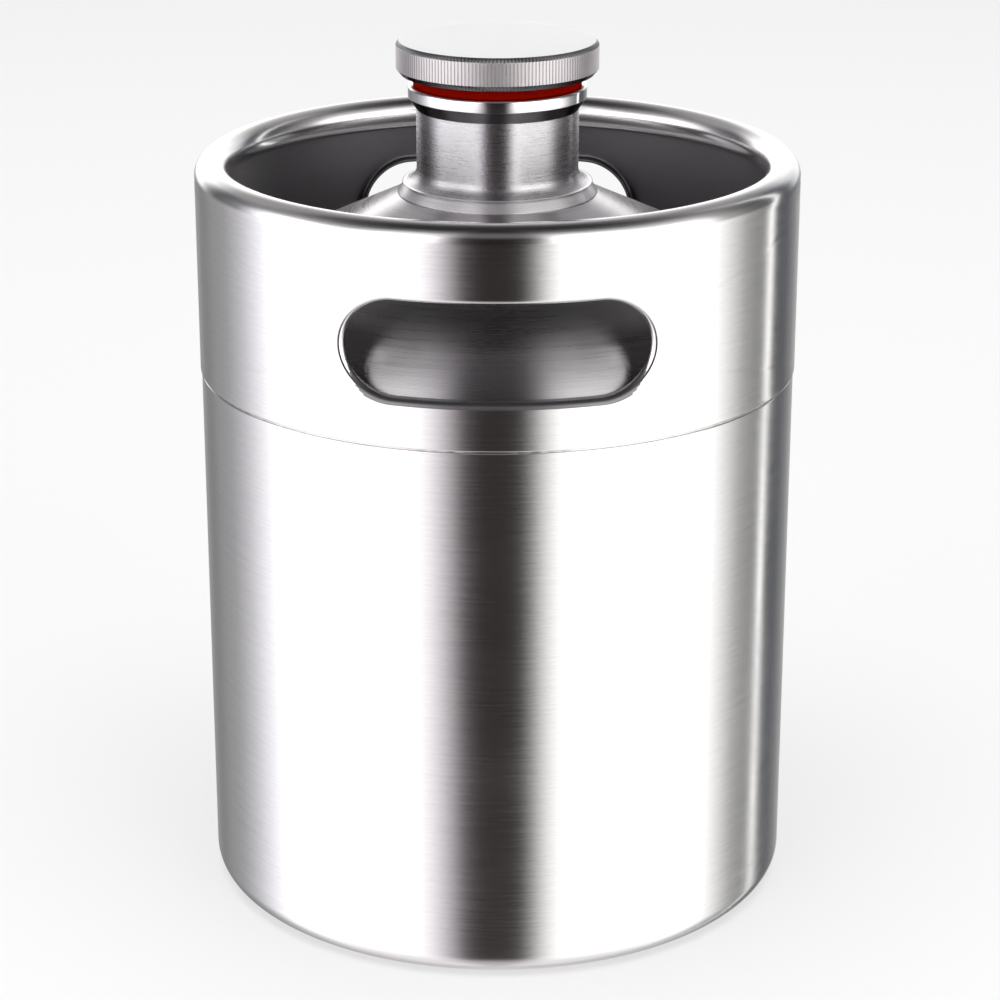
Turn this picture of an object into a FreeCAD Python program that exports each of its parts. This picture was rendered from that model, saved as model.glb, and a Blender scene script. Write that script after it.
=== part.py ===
"""Small stainless steel drinks keg of about 1.9 litres, for home-made soda or beer.

A single-walled vessel stands on a rolled foot: a rolled and welded barrel, a dished base welded into
it, a rounded shoulder and a machined neck. A skirt with a curled rim and two slotted handles is welded
round the shoulder. A knurled screw cap with a red silicone washer closes the neck.

Frame: millimetres, +Z up, origin on the keg's axis at the plane it stands on. The handles face -Y and +Y.
"""

import FreeCAD
import Part

import math
import os

from FreeCAD import Vector

# Driving dimensions.
SHEET = 0.6                 # thickness of every pressed or rolled sheet
BARREL_R = 66.95            # outside radius of the barrel
SKIRT_R = 67.25             # outside radius of the skirt, a shade more than the barrel
SEAM_Z = 122.0              # height of the girth seam between barrel and skirt
SEAM_GAP = 0.5              # height of the bead in the girth seam
RIM_Z = 170.0               # top of the skirt's curled rim
CURL_R = 3.8                # outside radius of the curl's round section
CURL_TURN = 290.0           # degrees that the curl turns from the wall

FOOT_CORNER_R = 5.2         # outside radius of the barrel's lower corner
FOOT_INNER_R = 57.5         # radius of the recess inside the foot
FOOT_TURN_R = 2.0           # radius of the turned-up inner edge of the foot
FOOT_LIP_Z = 5.0            # top of the turned-up edge
BASE_WELD = 0.6             # height of the bead between foot and base
BASE_CORNER_R = 2.5         # bend between the base's flange and its panel
BASE_EDGE_Z = 8.6           # underside of the base panel at its edge
BASE_CROWN_Z = 10.6         # underside of the base panel at its middle

SHOULDER_FOOT_Z = 114.5     # lower edge of the shoulder, inside the barrel
SHOULDER_BEND_Z = 119.0     # height where the shoulder leaves the barrel's wall
SHOULDER_GAP = 0.05         # clearance round the shoulder, and round the neck in its hole
SHOULDER_R = 34.0           # knuckle radius of the shoulder
SHOULDER_SLOPE = 25.0       # slope of the shoulder's cone, in degrees from the level

SLOT_MID_Z = 143.1          # height of the handle slots' middle
SLOT_HEIGHT = 21.0
SLOT_WIDTH = 63.6           # end to end, seen straight on
SLOT_LIP = 2.9              # depth of the slot's turned-in lip, wall included
SLOT_BEND_R = 1.2           # outer radius of the bend between wall and lip
SLOT_TOOL_REACH = (80.0, 40.0)  # where the slot's prism starts and ends, out from the axis

NECK_R = 18.0               # outside radius of the neck's tube
NECK_FOOT_Z = 160.9         # lower end of the neck, inside the vessel
FLANGE_R = 22.3
FLANGE_LAND = 0.3           # upright part of the flange's edge
FLANGE_CHAMFER_R = 20.6     # radius where the flange's bevel ends
FLANGE_CHAMFER_Z = 163.75
NECK_FILLET_R = 3.2         # between tube and flange
NECK_FILLET_SINK = 0.05     # how far the fillet's lowest point lies below the bevel's top
COLLAR_R = 19.8
COLLAR_LOW_Z = 182.9        # lower edge of the collar
COLLAR_BEVEL = 2.7          # height of the bevel under the collar
MOUTH_Z = 185.5             # top face of the collar
COLLAR_EDGE = 0.5           # chamfer of the collar's top edge
MOUTH_LEAD = 1.7            # lead-in chamfer of the mouth

PITCH = 3.0                 # thread pitch, right-handed
THREAD_FLANK = 30.0         # flank angle, in degrees from the radial direction
BORE_R = 15.3               # neck thread's crest, and the plain bore below it
NECK_THREAD_R = 16.5        # neck thread's root
PLUG_THREAD_R = 16.2        # cap thread's crest
PLUG_CORE_R = 15.0          # cap thread's root
PLUG_CREST = 0.6            # width of the cap thread's crest
FLANK_CLEARANCE = 0.2       # along the axis, on each flank
THREAD_PHASE_Z = 171.0      # a point on both threads' middle line, where it crosses +X
NECK_THREAD_TURNS = (0.0, 5.5)      # first and last turn above that point
PLUG_THREAD_TURNS = (1.25, 4.5)
THREAD_OVERLAP = 0.4        # how far a thread's section reaches into the body it is cut from or added to

WASHER_THICK = 2.5
WASHER_R = 18.75
WASHER_BORE_R = 15.6
WASHER_ROUND = 0.5          # rounding of the washer's outer edge

CAP_R = 22.4
CAP_TOP_Z = 195.3
CAP_TOP_CHAMFER = (0.7, 1.0)    # across, down
CAP_LOW_CHAMFER = (1.0, 1.2)    # across, up
KNURL_COUNT = 174
KNURL_DEPTH = 0.3
PLUG_UNDERCUT_R = 15.2      # groove that the washer sits in
PLUG_UNDERCUT = 2.9         # height of that groove
PLUG_TIP_Z = 173.0
PLUG_TIP_CHAMFER = 0.8
PLUG_HOLLOW_R = 11.8
PLUG_ROOF_Z = 191.4         # top of the hollow in the plug

UP = Vector(0, 0, 1)
CENTRE = Vector(0, 0, 0)


def at(radius, height):
    """A point of a lathe profile, drawn in the XZ plane."""
    return Vector(radius, 0, height)


def line(a, b):
    return Part.LineSegment(a, b).toShape()


def arc(middle, radius, start, end):
    """An arc about middle in the XZ plane, from start to end in degrees, seen with +X right and +Z up."""
    angles = [math.radians(start + (end - start) * share) for share in (0.0, 0.5, 1.0)]
    points = [middle + Vector(radius * math.cos(a), 0, radius * math.sin(a)) for a in angles]
    return Part.Arc(*points).toShape()


def turned(face):
    """The solid that a profile in the XZ plane makes when it is turned about the axis."""
    solid = face.revolve(CENTRE, UP, 360)
    return solid.Solids[0]


def lathe(points):
    """A turned solid with a straight-sided profile."""
    return turned(Part.Face(Part.makePolygon(points + points[:1])))


def outline(edges):
    """A turned solid whose profile is a closed run of edges."""
    return turned(Part.Face(Part.Wire(edges)))


def sheet(outer, inner):
    """A turned shell of sheet metal: its two skins are runs of edges in the same order."""
    first, last = outer[0].Vertexes[0].Point, outer[-1].Vertexes[-1].Point
    inner_first, inner_last = inner[0].Vertexes[0].Point, inner[-1].Vertexes[-1].Point
    ends = [line(last, inner_last), line(inner_first, first)]
    return turned(Part.Face(Part.Wire(Part.__sortEdges__(outer + inner + ends))))


def shoulder_z(radius):
    """Height of the shoulder's outer skin on its cone."""
    return CONE_FOOT.z + (CONE_FOOT.x - radius) * math.tan(math.radians(SHOULDER_SLOPE))


SHOULDER_LAND_R = BARREL_R - SHEET - SHOULDER_GAP
KNUCKLE_MIDDLE = at(SHOULDER_LAND_R - SHOULDER_R, SHOULDER_BEND_Z)
KNUCKLE_END = 90.0 - SHOULDER_SLOPE
CONE_FOOT = KNUCKLE_MIDDLE + Vector(
    SHOULDER_R * math.cos(math.radians(KNUCKLE_END)), 0, SHOULDER_R * math.sin(math.radians(KNUCKLE_END))
)


def body_shell():
    """Barrel with its rolled foot: the wall turns in at the bottom, runs flat and turns up again."""
    top = SEAM_Z - SEAM_GAP / 2
    flat_out = BARREL_R - FOOT_CORNER_R
    flat_in = FOOT_INNER_R + FOOT_TURN_R

    def skin(depth):
        """The skin that lies depth inside the outer one."""
        corner_middle, turn_middle = at(flat_out, FOOT_CORNER_R), at(flat_in, FOOT_TURN_R)
        return [
            line(at(BARREL_R - depth, top), at(BARREL_R - depth, FOOT_CORNER_R)),
            arc(corner_middle, FOOT_CORNER_R - depth, 0, -90),
            line(at(flat_out, depth), at(flat_in, depth)),
            arc(turn_middle, FOOT_TURN_R - depth, 270, 180),
            line(at(FOOT_INNER_R + depth, FOOT_TURN_R), at(FOOT_INNER_R + depth, FOOT_LIP_Z)),
        ]

    return sheet(skin(0.0), skin(SHEET))


def base_dish():
    """Pressed base with a short flange, a rounded corner and a panel crowned up into the vessel."""
    panel_edge = FOOT_INNER_R - BASE_CORNER_R
    crown = BASE_CROWN_Z - BASE_EDGE_Z
    crown_r = (panel_edge ** 2 + crown ** 2) / (2 * crown)
    panel_share = 0.5
    half = math.asin(panel_edge / crown_r) * panel_share

    def skin(rise):
        """The underside at rise 0, and the upper side at rise SHEET."""
        corner_middle = at(panel_edge, BASE_EDGE_Z - BASE_CORNER_R)
        middle_z = BASE_CROWN_Z - crown_r
        between = at((crown_r + rise) * math.sin(half), middle_z + (crown_r + rise) * math.cos(half))
        edge = at(panel_edge, BASE_EDGE_Z + rise)
        return [
            line(at(FOOT_INNER_R + rise, FOOT_LIP_Z + BASE_WELD), at(FOOT_INNER_R + rise, corner_middle.z)),
            arc(corner_middle, BASE_CORNER_R + rise, 0, 90),
            Part.Arc(edge, between, at(0, BASE_CROWN_Z + rise)).toShape(),
        ]

    outer, inner = skin(0.0), skin(SHEET)
    middle = line(at(0, BASE_CROWN_Z), at(0, BASE_CROWN_Z + SHEET))
    end = line(inner[0].Vertexes[0].Point, outer[0].Vertexes[0].Point)
    return turned(Part.Face(Part.Wire(Part.__sortEdges__(outer + inner + [middle, end]))))


def base_weld():
    """Bead that joins the base's flange to the foot's turned-up edge."""
    proud = 0.15
    inner, outer = FOOT_INNER_R - proud, FOOT_INNER_R + SHEET + proud
    low, high = FOOT_LIP_Z, FOOT_LIP_Z + BASE_WELD
    return lathe([at(inner, low), at(outer, low), at(outer, high), at(inner, high)])


def shoulder_dome():
    """Top head of the vessel: a land inside the barrel, a wide knuckle, a cone and the neck's hole."""
    hole_r = NECK_R + SHOULDER_GAP
    slope = math.radians(SHOULDER_SLOPE)

    def skin(depth):
        knuckle = SHOULDER_R - depth
        cone_foot = KNUCKLE_MIDDLE + Vector(knuckle * math.sin(slope), 0, knuckle * math.cos(slope))
        hole_z = shoulder_z(hole_r) - depth / math.cos(slope)
        land_r = SHOULDER_LAND_R - depth
        return [
            line(at(land_r, SHOULDER_FOOT_Z), at(land_r, SHOULDER_BEND_Z)),
            arc(KNUCKLE_MIDDLE, knuckle, 0, KNUCKLE_END),
            line(cone_foot, at(hole_r, hole_z)),
        ]

    return sheet(skin(0.0), skin(SHEET))


def girth_weld():
    """Bead in the seam, dressed a little below the barrel, that joins barrel, shoulder and skirt."""
    low, high = SEAM_Z - SEAM_GAP / 2, SEAM_Z + SEAM_GAP / 2
    below, inside = 0.15, 1.0
    bead = tube(BARREL_R - below, SHOULDER_LAND_R - inside, low, high)
    return max(bead.cut(shoulder_dome()).Solids, key=lambda solid: solid.BoundBox.XMax)


def slot_tool(grow):
    """The space of a handle slot, grown all round: a level round-ended prism, pushed straight in from -Y."""
    end_r = SLOT_HEIGHT / 2 + grow
    straight = (SLOT_WIDTH - SLOT_HEIGHT) / 2
    outside, inside = (-reach for reach in SLOT_TOOL_REACH)

    def corner(side_x, side_z):
        return Vector(side_x * straight, outside, SLOT_MID_Z + side_z * end_r)

    def end(side):
        tip = Vector(side * (straight + end_r), outside, SLOT_MID_Z)
        return Part.Arc(corner(side, 1), tip, corner(side, -1)).toShape()

    top, bottom = line(corner(-1, 1), corner(1, 1)), line(corner(1, -1), corner(-1, -1))
    ring = Part.Wire([top, end(1), bottom, end(-1)])
    return Part.Face(ring).extrude(Vector(0, inside - outside, 0))


def tube(outer_r, inner_r, low, high):
    """A plain ring between two radii and two heights."""
    outside = Part.makeCylinder(outer_r, high - low, at(0, low))
    return outside.cut(Part.makeCylinder(inner_r, high - low, at(0, low)))


def top_skirt():
    """Skirt with a curled rim and two handle slots, each with a lip bent in all round."""
    foot = SEAM_Z + SEAM_GAP / 2
    curl_z = RIM_Z - CURL_R
    curl_middle = at(SKIRT_R - CURL_R, curl_z)
    half = CURL_TURN / 2

    def skin(depth):
        radius = CURL_R - depth
        return [
            line(at(SKIRT_R - depth, foot), at(SKIRT_R - depth, curl_z)),
            arc(curl_middle, radius, 0, half),
            arc(curl_middle, radius, half, CURL_TURN),
        ]

    skirt = sheet(skin(0.0), skin(SHEET))
    room = SLOT_HEIGHT / 2 + 2 * SHEET
    band = tube(SKIRT_R - SHEET / 2, SKIRT_R - SLOT_LIP, SLOT_MID_Z - room, SLOT_MID_Z + room)
    for turn in (0, 180):
        hole, around = slot_tool(0.0), slot_tool(SHEET)
        for tool in (hole, around):
            tool.rotate(CENTRE, UP, turn)
        skirt = skirt.fuse(band.common(around)).cut(hole)
    skirt = skirt.removeSplitter().Solids[0]
    skirt = skirt.makeFillet(SLOT_BEND_R - SHEET, slot_edges(skirt, SKIRT_R - SHEET, SHEET))
    return skirt.makeFillet(SLOT_BEND_R, slot_edges(skirt, SKIRT_R, 0.0)).Solids[0]


def slot_edges(skirt, radius, grow):
    """The edges round both slots where a slot tool of that growth meets the skin of that radius."""
    near = 0.01

    def on_slot(spot):
        end_r = SLOT_HEIGHT / 2 + grow
        beyond = max(abs(spot.x) - (SLOT_WIDTH - SLOT_HEIGHT) / 2, 0.0)
        off_slot = abs(math.hypot(beyond, spot.z - SLOT_MID_Z) - end_r)
        return off_slot < near and abs(math.hypot(spot.x, spot.y) - radius) < near

    def spots(edge):
        first, last = edge.FirstParameter, edge.LastParameter
        return [edge.valueAt(first + (last - first) * share) for share in (0.2, 0.7)]

    return [e for e in skirt.Edges if all(on_slot(s) for s in spots(e))]


def thread(crest_r, root_r, crest_width, root_width, turns):
    """A helical ridge, wide at root_r and narrow at crest_r, between two turns above the phase point."""
    turns_low, turns_high = turns
    low = THREAD_PHASE_Z + turns_low * PITCH
    start = turns_low * 360.0
    helix = Part.makeHelix(PITCH, (turns_high - turns_low) * PITCH, root_r)
    profile = Part.makePolygon(
        [
            at(root_r, -root_width / 2),
            at(crest_r, -crest_width / 2),
            at(crest_r, crest_width / 2),
            at(root_r, root_width / 2),
            at(root_r, -root_width / 2),
        ]
    )
    pipe = Part.BRepOffsetAPI.MakePipeShell(Part.Wire(helix.Edges))
    pipe.setFrenetMode(True)
    pipe.add(profile)
    pipe.build()
    pipe.makeSolid()
    ridge = pipe.shape()
    ridge.translate(at(0, low))
    ridge.rotate(CENTRE, UP, start)
    return ridge


def ridge_width(radius):
    """Width of the cap thread's ridge at a radius."""
    return PLUG_CREST + 2 * (PLUG_THREAD_R - radius) * math.tan(math.radians(THREAD_FLANK))


def neck():
    """Machined mouth: a collar over a bevel, a tube, a bevelled flange on the shoulder, and a thread."""
    fillet_middle = at(NECK_R + NECK_FILLET_R, FLANGE_CHAMFER_Z + NECK_FILLET_R - NECK_FILLET_SINK)
    fillet_reach = (FLANGE_CHAMFER_R - fillet_middle.x) / NECK_FILLET_R
    fillet_end = 360.0 - math.degrees(math.acos(fillet_reach))
    flange_top = fillet_middle + Vector(
        NECK_FILLET_R * math.cos(math.radians(fillet_end)), 0, NECK_FILLET_R * math.sin(math.radians(fillet_end))
    )
    seat = SHOULDER_GAP
    flange_low = at(FLANGE_R, shoulder_z(FLANGE_R) + seat)
    corners = [
        at(NECK_R, fillet_middle.z),
        at(NECK_R, COLLAR_LOW_Z - COLLAR_BEVEL),
        at(COLLAR_R, COLLAR_LOW_Z),
        at(COLLAR_R, MOUTH_Z - COLLAR_EDGE),
        at(COLLAR_R - COLLAR_EDGE, MOUTH_Z),
        at(BORE_R + MOUTH_LEAD, MOUTH_Z),
        at(BORE_R, MOUTH_Z - MOUTH_LEAD),
        at(BORE_R, NECK_FOOT_Z),
        at(NECK_R, NECK_FOOT_Z),
        at(NECK_R, shoulder_z(NECK_R) + seat),
        flange_low,
        flange_low + at(0, FLANGE_LAND),
        flange_top,
    ]
    edges = [line(a, b) for a, b in zip(corners, corners[1:])]
    body = outline(edges + [arc(fillet_middle, NECK_FILLET_R, fillet_end, 180)])
    root, inner = NECK_THREAD_R, BORE_R - THREAD_OVERLAP
    root_width = ridge_width(root) + 2 * FLANK_CLEARANCE
    inner_width = ridge_width(inner) + 2 * FLANK_CLEARANCE
    groove = thread(root, inner, root_width, inner_width, NECK_THREAD_TURNS)
    return body.cut(groove).Solids[0]


def neck_weld():
    """Bead inside the vessel, between the shoulder's underside and the neck's lower end."""
    reach = 1.8

    def under(radius):
        return shoulder_z(radius) - SHEET / math.cos(math.radians(SHOULDER_SLOPE))

    edge = NECK_R + reach
    return lathe([at(NECK_R, NECK_FOOT_Z), at(edge, under(edge)), at(NECK_R, under(NECK_R))])


def screw_cap():
    """Cap turned from bar: a knurled head over a hollow threaded plug, with a groove for the washer."""
    low_z = MOUTH_Z + WASHER_THICK
    across, down = CAP_TOP_CHAMFER
    in_, up = CAP_LOW_CHAMFER
    core = [
        at(0, CAP_TOP_Z),
        at(CAP_R - across, CAP_TOP_Z),
        at(CAP_R, CAP_TOP_Z - down),
        at(CAP_R, low_z + up),
        at(CAP_R - in_, low_z),
        at(PLUG_UNDERCUT_R, low_z),
        at(PLUG_UNDERCUT_R, low_z - PLUG_UNDERCUT),
        at(PLUG_CORE_R, low_z - PLUG_UNDERCUT),
        at(PLUG_CORE_R, PLUG_TIP_Z + PLUG_TIP_CHAMFER),
        at(PLUG_CORE_R - PLUG_TIP_CHAMFER, PLUG_TIP_Z),
        at(PLUG_HOLLOW_R, PLUG_TIP_Z),
        at(PLUG_HOLLOW_R, PLUG_ROOF_Z),
        at(0, PLUG_ROOF_Z),
    ]
    inner = PLUG_CORE_R - THREAD_OVERLAP
    ridge = thread(PLUG_THREAD_R, inner, PLUG_CREST, ridge_width(inner), PLUG_THREAD_TURNS)
    return lathe(core).fuse(ridge).common(knurl_blank(low_z)).Solids[0]


def knurl_blank(low_z):
    """A prism of straight knurling, with KNURL_COUNT ridges, over a plain cylinder for the plug."""
    step = math.pi / KNURL_COUNT
    room = 1.0
    overlap = 0.1
    corners = []
    for i in range(2 * KNURL_COUNT):
        radius = CAP_R if i % 2 == 0 else CAP_R - KNURL_DEPTH
        corners.append(Vector(radius * math.cos(i * step), radius * math.sin(i * step), low_z - overlap))
    head = Part.Face(Part.makePolygon(corners + corners[:1])).extrude(at(0, CAP_TOP_Z - low_z + room))
    plug = Part.makeCylinder(PLUG_THREAD_R + room, low_z - PLUG_TIP_Z + room, at(0, PLUG_TIP_Z - room))
    return head.fuse(plug)


def cap_gasket():
    """Silicone washer between the cap and the mouth, held in the plug's groove."""
    washer = tube(WASHER_R, WASHER_BORE_R, MOUTH_Z, MOUTH_Z + WASHER_THICK)
    circles = [e for e in washer.Edges if hasattr(e.Curve, "Radius")]
    rims = [e for e in circles if math.isclose(e.Curve.Radius, WASHER_R)]
    return washer.makeFillet(WASHER_ROUND, rims).Solids[0]


PARTS = (
    body_shell,
    base_dish,
    base_weld,
    shoulder_dome,
    girth_weld,
    top_skirt,
    neck,
    neck_weld,
    screw_cap,
    cap_gasket,
)


def main():
    os.makedirs("parts", exist_ok=True)
    for make in PARTS:
        solid = make()
        print(f"{make.__name__:14s} {solid.ShapeType} valid={solid.isValid()} volume={solid.Volume:9.1f} mm3")
        solid.exportStep(f"parts/{make.__name__}.step")


main()
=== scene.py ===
"""Looks for a small stainless steel keg with a screw cap: brushed steel shells, a turned neck, a knurled cap
and a red silicone washer. Metres, +Z up, the same frame as the solids."""

import math

import bpy
import numpy as np
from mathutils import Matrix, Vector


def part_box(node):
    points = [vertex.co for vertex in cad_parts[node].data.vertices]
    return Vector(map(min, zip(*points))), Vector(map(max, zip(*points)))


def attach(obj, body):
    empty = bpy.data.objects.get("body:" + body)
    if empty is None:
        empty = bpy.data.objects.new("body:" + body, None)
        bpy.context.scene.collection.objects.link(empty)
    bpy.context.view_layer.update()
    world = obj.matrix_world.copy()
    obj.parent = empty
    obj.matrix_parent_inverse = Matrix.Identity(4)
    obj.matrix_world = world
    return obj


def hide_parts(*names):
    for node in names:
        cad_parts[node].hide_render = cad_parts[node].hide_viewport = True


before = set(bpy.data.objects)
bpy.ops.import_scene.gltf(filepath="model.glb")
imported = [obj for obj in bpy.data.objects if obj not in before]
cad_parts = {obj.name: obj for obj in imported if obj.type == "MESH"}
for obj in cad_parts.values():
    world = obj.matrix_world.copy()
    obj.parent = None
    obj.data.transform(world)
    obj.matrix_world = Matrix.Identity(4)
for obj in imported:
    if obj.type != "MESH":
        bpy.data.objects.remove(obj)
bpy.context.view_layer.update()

MM = 0.001
TAU = 2.0 * math.pi


def sizes(node):
    """Outer radius, lowest and highest point of a node's box, in millimetres, to the nearest 0.05 mm."""
    low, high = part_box(node)
    radius = max(high[0] - low[0], high[1] - low[1]) / 2
    return [round(float(v) / MM * 20) / 20 for v in (radius, low[2], high[2])]


BARREL_R, _, BARREL_TOP = sizes("body_shell")
SKIRT_R, SKIRT_FOOT, RIM_TOP = sizes("top_skirt")
SHOULDER_LAND_R, SHOULDER_FOOT, _ = sizes("shoulder_dome")
FLANGE_R, NECK_FOOT, MOUTH_Z = sizes("neck")
CAP_R, PLUG_TIP, CAP_TOP = sizes("screw_cap")
WASHER_R, _, WASHER_TOP = sizes("cap_gasket")
DISH_R, DISH_FOOT, DISH_TOP = sizes("base_dish")

SHEET = 0.6                 # wall thickness of every shell
CURL_R = 3.8                # section radius of the curled rim
CURL_TURN = 290.0           # degrees the sheet turns in the curl
SLOT_HEIGHT, SLOT_WIDTH, SLOT_MID_Z = 21.0, 63.6, 143.1
SLOT_LIP = 2.9              # depth of the lip bent in round a slot
SLOT_BEND_R = 1.2
TUBE_R, COLLAR_R, BORE_R = 18.0, 19.8, 15.3     # the neck's tube, its collar and its bore
PITCH, THREAD_DEPTH = 3.0, 1.2
THREAD_PHASE_Z = 171.0      # height where both threads' middle line crosses +X


# ---------------------------------------------------------------- meshes

def grid_faces(rows, columns, wrap_rows, wrap_columns):
    """Quads of a rows by columns grid of points, joined end to end where asked."""
    r = np.arange(rows if wrap_rows else rows - 1)
    c = np.arange(columns if wrap_columns else columns - 1)
    r, c = np.meshgrid(r, c, indexing="ij")
    r1, c1 = (r + 1) % rows, (c + 1) % columns
    return np.stack([r * columns + c, r * columns + c1, r1 * columns + c1, r1 * columns + c], -1).reshape(-1, 4)


def piece(name, points, quads, triangles=None, replaces=(), body="keg", slot=None, material=None, others=()):
    """A mesh object from points in millimetres; smooth shaded, riding on a body. Each of others is a material and
    the mask of the faces that it covers."""
    points = np.asarray(points, float).reshape(-1, 3) * MM
    triangles = np.zeros((0, 3), int) if triangles is None else np.asarray(triangles)
    mesh = bpy.data.meshes.new(name)
    loops = np.concatenate([np.asarray(quads).ravel(), triangles.ravel()]).astype(np.int32)
    counts = np.concatenate([np.full(len(quads), 4), np.full(len(triangles), 3)]).astype(np.int32)
    starts = np.concatenate([[0], np.cumsum(counts)[:-1]]).astype(np.int32)
    mesh.vertices.add(len(points))
    mesh.vertices.foreach_set("co", points.astype(np.float32).ravel())
    mesh.loops.add(len(loops))
    mesh.loops.foreach_set("vertex_index", loops)
    mesh.polygons.add(len(counts))
    mesh.polygons.foreach_set("loop_start", starts)
    mesh.polygons.foreach_set("loop_total", counts)
    mesh.polygons.foreach_set("use_smooth", np.ones(len(counts), bool))
    mesh.update(calc_edges=True)
    mesh.validate()
    made = bpy.data.objects.new(name, mesh)
    bpy.context.scene.collection.objects.link(made)
    mesh.materials.append(material)
    index = np.zeros(len(counts), np.int32)
    for number, (other, mask) in enumerate(others, 1):
        mesh.materials.append(other)
        index[:len(mask)][mask] = number
    mesh.polygons.foreach_set("material_index", index)
    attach(made, body)
    if replaces:
        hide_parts(*replaces)
    return made


def rounded(corners, step=3.0, turn_step=5.0, closed=True):
    """A run of points (radius, height): straight between corners (radius, height, rounding), each corner an arc
    tangent to both sides. Straight runs are divided about every step, arcs every turn_step degrees."""
    corners = np.asarray(corners, float)
    spots, before, after = corners[:, :2], np.roll(corners[:, :2], 1, 0), np.roll(corners[:, :2], -1, 0)
    arcs = []
    for i, (spot, rounding) in enumerate(zip(spots, corners[:, 2])):
        into, out = spot - before[i], after[i] - spot
        into, out = into / np.hypot(*into), out / np.hypot(*out)
        turn = math.atan2(into[0] * out[1] - into[1] * out[0], into @ out)
        if rounding <= 0 or abs(turn) < 1e-6 or (not closed and i in (0, len(corners) - 1)):
            arcs.append(spot[None])
            continue
        side = math.copysign(1.0, turn)
        reach = rounding * math.tan(abs(turn) / 2)
        centre = spot - into * reach + side * rounding * np.array([-into[1], into[0]])
        count = max(2, int(math.ceil(math.degrees(abs(turn)) / turn_step)))
        angle = math.atan2(-side * into[0], side * into[1]) + turn * np.linspace(0, 1, count + 1)
        arcs.append(centre + rounding * np.stack([np.cos(angle), np.sin(angle)], -1))
    run = []
    for i, arc in enumerate(arcs):
        run.append(arc)
        if not closed and i == len(arcs) - 1:
            break
        ahead = arcs[(i + 1) % len(arcs)][0]
        gap = np.hypot(*(ahead - arc[-1]))
        inner = np.linspace(0, 1, max(1, int(gap // step)) + 1)[1:-1, None]
        run.append(arc[-1] + (ahead - arc[-1]) * inner)
    run = np.concatenate(run)
    keep = np.hypot(*(run - np.roll(run, 1, 0)).T) > 1e-5
    keep[0] = True
    return run[keep]


def lathed(profile, columns, shape=None):
    """Points of a profile turned about Z: point (row, column) stands at angle 2 pi column / columns, at the
    profile's radius and height, passed through shape(radius, angle, height) if given."""
    angle = np.arange(columns) * TAU / columns
    radius = np.repeat(profile[:, :1], columns, 1)
    height = np.repeat(profile[:, 1:], columns, 1)
    angle = np.repeat(angle[None], len(profile), 0)
    if shape:
        radius, angle, height = shape(radius, angle, height)
    return np.stack([radius * np.cos(angle), radius * np.sin(angle), height], -1)


def ring_piece(name, profile, columns, shape=None, **how):
    """A closed ring: a closed profile, drawn anticlockwise in (radius, height), turned about Z."""
    points = lathed(profile, columns, shape)
    return piece(name, points, grid_faces(len(profile), columns, True, True), **how)


def pole_piece(name, profile, columns, shape=None, **how):
    """A closed solid whose open profile starts and ends on the axis: rings of quads with a fan at each pole."""
    points = lathed(profile[1:-1], columns, shape).reshape(-1, 3)
    quads = grid_faces(len(profile) - 2, columns, False, True)
    last = len(points) - columns
    c = np.arange(columns)
    first_pole, last_pole = np.full(columns, len(points)), np.full(columns, len(points) + 1)
    fan_a = np.stack([first_pole, (c + 1) % columns, c], -1)
    fan_b = np.stack([last_pole, last + c, last + (c + 1) % columns], -1)
    poles = [[0, 0, profile[0, 1]], [0, 0, profile[-1, 1]]]
    return piece(name, np.concatenate([points, poles]), quads, np.concatenate([fan_a, fan_b]), **how)


def merged(points, faces, near=0.002):
    """Points that share a place become one, found by rounding each place to a cell of that size."""
    cells = np.round(points / near).astype(np.int64)
    _, first, back = np.unique(cells, axis=0, return_index=True, return_inverse=True)
    return points[first], back.ravel()[faces]


def smooth(t):
    """0 below 0, 1 above 1, and an S between."""
    t = np.clip(t, 0, 1)
    return t * t * (3 - 2 * t)


def thread_depth(angle, height, crest, foot, low_turn, high_turn):
    """How far a screw ridge stands out, 0 to 1, at an angle and height: 1 within crest of the ridge's middle line,
    falling to 0 at foot, and run out over a tenth of a turn at both ends."""
    turns = (height - THREAD_PHASE_Z) / PITCH - angle / TAU
    off = np.abs(turns - np.round(turns)) * PITCH
    along = np.round(turns) + angle / TAU
    ends = smooth((along - low_turn) / 0.1) * smooth((high_turn - along) / 0.1)
    return np.clip((foot - off) / (foot - crest), 0, 1) * ends


# ---------------------------------------------------------------- materials

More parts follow.
